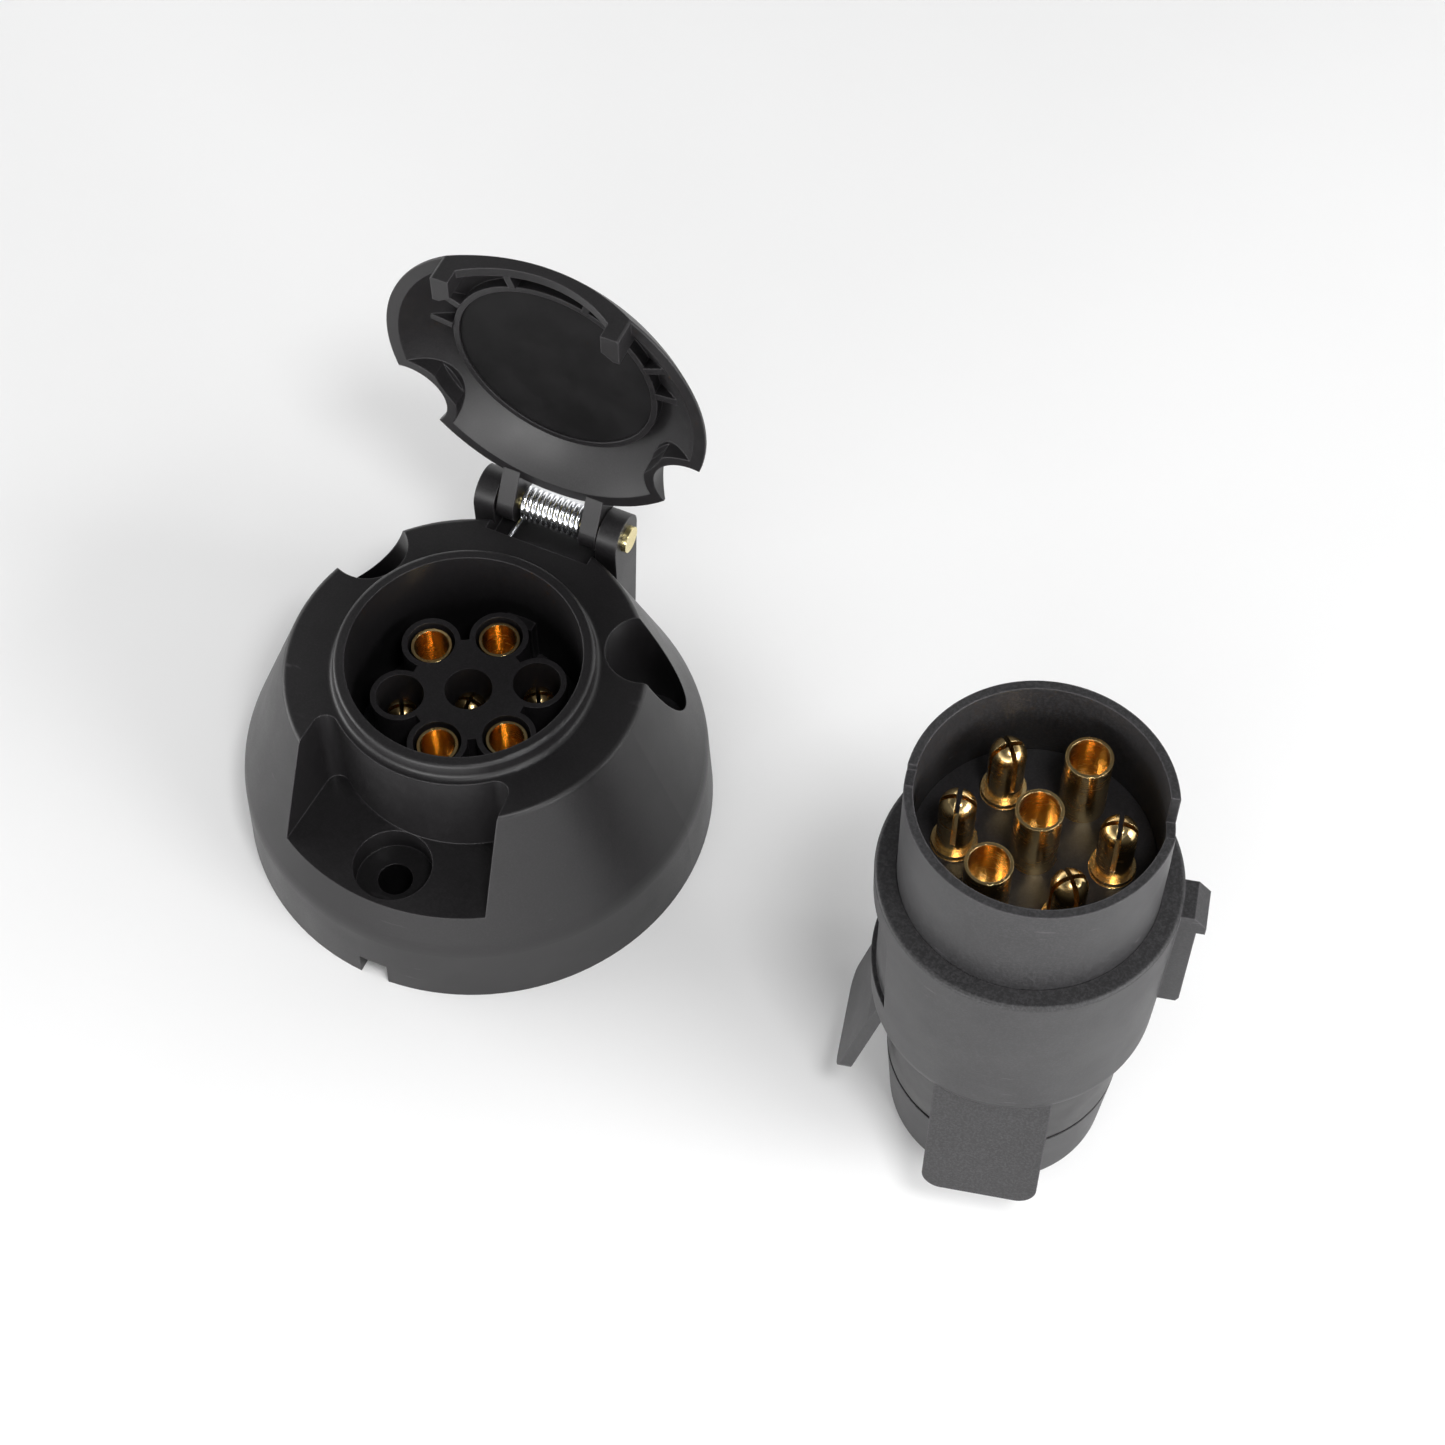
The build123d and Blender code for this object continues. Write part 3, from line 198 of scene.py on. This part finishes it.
def turned_metal(name, bright, dull, roughness, ring, depth, corner):
    """Metal turned on a lathe: fine rings along its axis, patchy tarnish and bright corners."""
    tree = Tree(name)
    rings = tree.noise(1.0, detail=2.0, vector=tree.stretched((120.0, 120.0, 1.0 / ring)))
    tarnish = tree.noise(2.6 * MM, detail=5.0, roughness=0.6)
    edge = tree.edges(corner * 1.5)
    colour = tree.mix(tree.span(tarnish, 0.38, 0.72, 0.0, 1.0), bright, dull)
    rough = tree.maths(
        "ADD",
        tree.span(tarnish, 0.3, 0.7, roughness - 0.05, roughness + 0.09),
        tree.span(rings, 0.3, 0.7, -0.03, 0.05),
    )
    tree.set(Metallic=1.0)
    tree.wire(
        Base_Color=tree.mix(tree.maths("MULTIPLY", edge, 0.6), colour, bright),
        Roughness=rough,
        Normal=tree.bump(rings, 0.25, depth, tree.soft_edges(corner)),
    )
    return tree.material


def soft_rubber(name, colour, bloom, roughness, shine):
    """Soft black rubber, with a faint grey bloom and a fine cast grain."""
    tree = Tree(name)
    grain = tree.noise(0.22 * MM, detail=2.0)
    patch = tree.noise(7 * MM, detail=4.0)
    tree.set(Specular_IOR_Level=shine)
    tree.wire(
        Base_Color=tree.mix(tree.span(patch, 0.4, 0.75, 0.0, 1.0), colour, bloom),
        Roughness=tree.span(patch, 0.3, 0.7, roughness - 0.06, roughness + 0.08),
        Normal=tree.bump(grain, 0.25, 0.02 * MM, tree.soft_edges(0.3 * MM)),
    )
    return tree.material


PLUG_TINT = (1, 0.97, 1.03)

# The material of each slot in the record.
FINISH = {
    "socket_plastic": moulded_plastic(
        "socket_black", dark=grey(0.007), light=grey(0.013), worn=grey(0.09),
        roughness=0.42, grain=0.28 * MM, depth=0.02 * MM, corner=0.25 * MM,
    ),
    "plug_plastic": moulded_plastic(
        "plug_black", dark=grey(0.014, PLUG_TINT), light=grey(0.034, PLUG_TINT), worn=grey(0.16),
        roughness=0.50, grain=0.36 * MM, depth=0.035 * MM, corner=0.25 * MM,
    ),
    "carrier_plastic": moulded_plastic(
        "carrier_black", dark=grey(0.014), light=grey(0.024), worn=grey(0.08),
        roughness=0.42, grain=0.30 * MM, depth=0.01 * MM, corner=0.15 * MM,
    ),
    "contact_brass": turned_metal(
        "contact_brass", bright=(0.93, 0.70, 0.34), dull=(0.80, 0.47, 0.16),
        roughness=0.20, ring=0.12 * MM, depth=0.01 * MM, corner=0.12 * MM,
    ),
    "pin_brass": turned_metal(
        "hinge_brass", bright=(0.90, 0.78, 0.40), dull=(0.72, 0.60, 0.28),
        roughness=0.26, ring=0.15 * MM, depth=0.01 * MM, corner=0.15 * MM,
    ),
    "zinc_steel": turned_metal(
        "zinc_steel", bright=(0.82, 0.84, 0.86), dull=(0.60, 0.61, 0.62),
        roughness=0.26, ring=0.12 * MM, depth=0.01 * MM, corner=0.12 * MM,
    ),
    "spring_steel": turned_metal(
        "spring_wire", bright=(0.92, 0.93, 0.95), dull=(0.74, 0.75, 0.77),
        roughness=0.16, ring=0.3 * MM, depth=0.004 * MM, corner=0.05 * MM,
    ),
    "seal_rubber": soft_rubber("seal_rubber", grey(0.003), grey(0.007), roughness=0.60, shine=0.2),
    "gland_rubber": soft_rubber("gland_rubber", grey(0.008), grey(0.018), roughness=0.42, shine=0.5),
}


def finish_frame():
    """Gives each CAD node the material of its slot in the record."""
    for entry in frame["record"]["subparts"]:
        piece = NODES[entry["node"]]
        piece.data.materials.clear()
        piece.data.materials.append(FINISH[entry["material_slot"]])


# ---------------------------------------------------------------- the hinge spring

WIRE_R = 0.42 * MM
COIL_R = 2.6 * MM
COIL_TURNS = 11
STEPS_PER_TURN = 24
COIL_START = -math.pi / 2
# The fixed leg ends here, on the recess's shelf, and bends up just short of the coil.
SHELF_LEG_Y = 25.2 * MM
SHELF_LEG_Z = 35.62 * MM
SHELF_LEG_BEND = 0.4 * MM
# The moving leg leaves the coil through these angles, then rises into the lid through these heights.
LID_LEG_ANGLES = (-1.2, -0.9, -0.6, -0.3, 0.0)
LID_LEG_RISE_MM = (0.8, 2.2, 3.8, 5.2)


def wire_piece(name, points, body):
    """A round wire along the points, ending in small caps, that rides on a body."""
    curve = bpy.data.curves.new(name, "CURVE")
    curve.dimensions = "3D"
    curve.bevel_depth = WIRE_R
    curve.bevel_resolution = 4
    curve.use_fill_caps = True
    line = curve.splines.new("NURBS")
    line.points.add(len(points) - 1)
    for knot, point in zip(line.points, points):
        knot.co = (*point, 1.0)
    line.order_u = 3
    line.use_endpoint_u = True
    piece = bpy.data.objects.new(name, curve)
    bpy.context.scene.collection.objects.link(piece)
    piece.data.materials.append(FINISH["spring_steel"])
    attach(piece, body)
    return piece


def around(angle, x):
    """A point on the coil's circle, by its angle from +Y towards +Z."""
    axis = Vector(HINGE["pos_m"])
    return Vector((x, axis.y + COIL_R * math.cos(angle), axis.z + COIL_R * math.sin(angle)))


def hinge_spring():
    """The coil and its leg on the socket's recess, and the other leg, which runs up into the lid."""
    low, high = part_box("lid_spring")
    start, end = low.x + WIRE_R, high.x - WIRE_R
    steps = COIL_TURNS * STEPS_PER_TURN
    coil = [
        around(COIL_START + 2 * math.pi * COIL_TURNS * i / steps, start + (end - start) * i / steps)
        for i in range(steps + 1)
    ]
    leg_end = Vector((coil[0].x, SHELF_LEG_Y, SHELF_LEG_Z))
    leg_bend = coil[0] + Vector((0, -SHELF_LEG_BEND, 0))
    leg = [leg_end.lerp(leg_bend, i / 4) for i in range(5)]
    fixed = wire_piece("lid_spring_coil", leg + coil, "socket")
    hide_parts("lid_spring")
    tail = [around(angle, end) for angle in LID_LEG_ANGLES]
    rise = [tail[-1] + Vector((0, 0, z * MM)) for z in LID_LEG_RISE_MM]
    wire_piece("lid_spring_leg", tail + rise, "lid")


# ---------------------------------------------------------------- the studio

# The room's light on the world's own scale of height, which runs from 0 to 1.
WORLD_LIGHT = 1.55
BRIGHT_BELOW, BRIGHT_LEVEL = 0.22, 1.0
DARK_ABOVE, DARK_LEVEL = 0.72, 0.05

CAMERA_PLACE = (0.1438, -0.2171, 0.4256)
CAMERA_AHEAD = (-0.2239, 0.4866, -0.8445)
CAMERA_RIGHT = (0.9119, 0.4104, -0.0053)
CAMERA_LENS = 74.74


def floor():
    """A plain pale floor under both halves."""
    bpy.ops.mesh.primitive_plane_add(size=6.0, location=(0, 0, 0))
    plane = bpy.context.object
    plane.name = "floor"
    tree = Tree("floor_white")
    speck = tree.noise(60 * MM)
    tree.wire(Base_Color=tree.mix(speck, (0.90, 0.90, 0.90), (0.93, 0.93, 0.93)))
    tree.set(Roughness=0.6)
    plane.data.materials.append(tree.material)


def softbox(name, centre, aim, width, height, power):
    """A rectangular lamp that faces the point it aims at."""
    light = bpy.data.lights.new(name, "AREA")
    light.shape = "RECTANGLE"
    light.size = width
    light.size_y = height
    light.energy = power
    lamp = bpy.data.objects.new(name, light)
    lamp.location = centre
    lamp.rotation_euler = (Vector(aim) - Vector(centre)).to_track_quat("-Z", "Y").to_euler()
    bpy.context.scene.collection.objects.link(lamp)


def studio():
    """A room that is bright near the floor and dark above, and softboxes around the pair."""
    world = bpy.data.worlds.new("studio")
    bpy.context.scene.world = world
    world.use_nodes = True
    nodes, links = world.node_tree.nodes, world.node_tree.links
    height = nodes.new("ShaderNodeSeparateXYZ")
    links.new(nodes.new("ShaderNodeTexCoord").outputs["Generated"], height.inputs[0])
    ramp = nodes.new("ShaderNodeValToRGB")
    links.new(height.outputs["Z"], ramp.inputs["Fac"])
    links.new(ramp.outputs["Color"], nodes["Background"].inputs["Color"])
    ramp.color_ramp.interpolation = "EASE"
    levels = ((BRIGHT_BELOW, BRIGHT_LEVEL), (DARK_ABOVE, DARK_LEVEL))
    for stop, (place, level) in zip(ramp.color_ramp.elements, levels):
        stop.position = place
        stop.color = (level, level, level, 1.0)
    nodes["Background"].inputs["Strength"].default_value = WORLD_LIGHT
    middle = (0.045, 0.0, 0.03)
    softbox("left_softbox", (-0.85, -0.20, 0.25), middle, 0.7, 0.3, 4.0)
    softbox("right_softbox", (0.90, -0.10, 0.40), middle, 0.7, 0.4, 7.0)
    softbox("front_softbox", (0.10, -0.95, 0.22), middle, 0.9, 0.3, 5.0)
    softbox("camera_softbox", (0.26, -0.20, 0.62), middle, 0.12, 0.12, 1.5)


def camera():
    """Looks down on the pair from in front of the socket and to its right."""
    lens = bpy.data.cameras.new("view")
    lens.sensor_width = 36.0
    lens.lens = CAMERA_LENS
    eye = bpy.data.objects.new("view", lens)
    eye.location = CAMERA_PLACE
    ahead = Vector(CAMERA_AHEAD).normalized()
    right = (Vector(CAMERA_RIGHT) - ahead * ahead.dot(Vector(CAMERA_RIGHT))).normalized()
    up = right.cross(ahead)
    eye.rotation_euler = Matrix((right, up, -ahead)).transposed().to_euler()
    lens.clip_start = 0.01
    bpy.context.scene.collection.objects.link(eye)
    bpy.context.scene.camera = eye


bpy.context.scene.view_settings.view_transform = "Standard"
camera()
finish_frame()
hinge_spring()
floor()
studio()
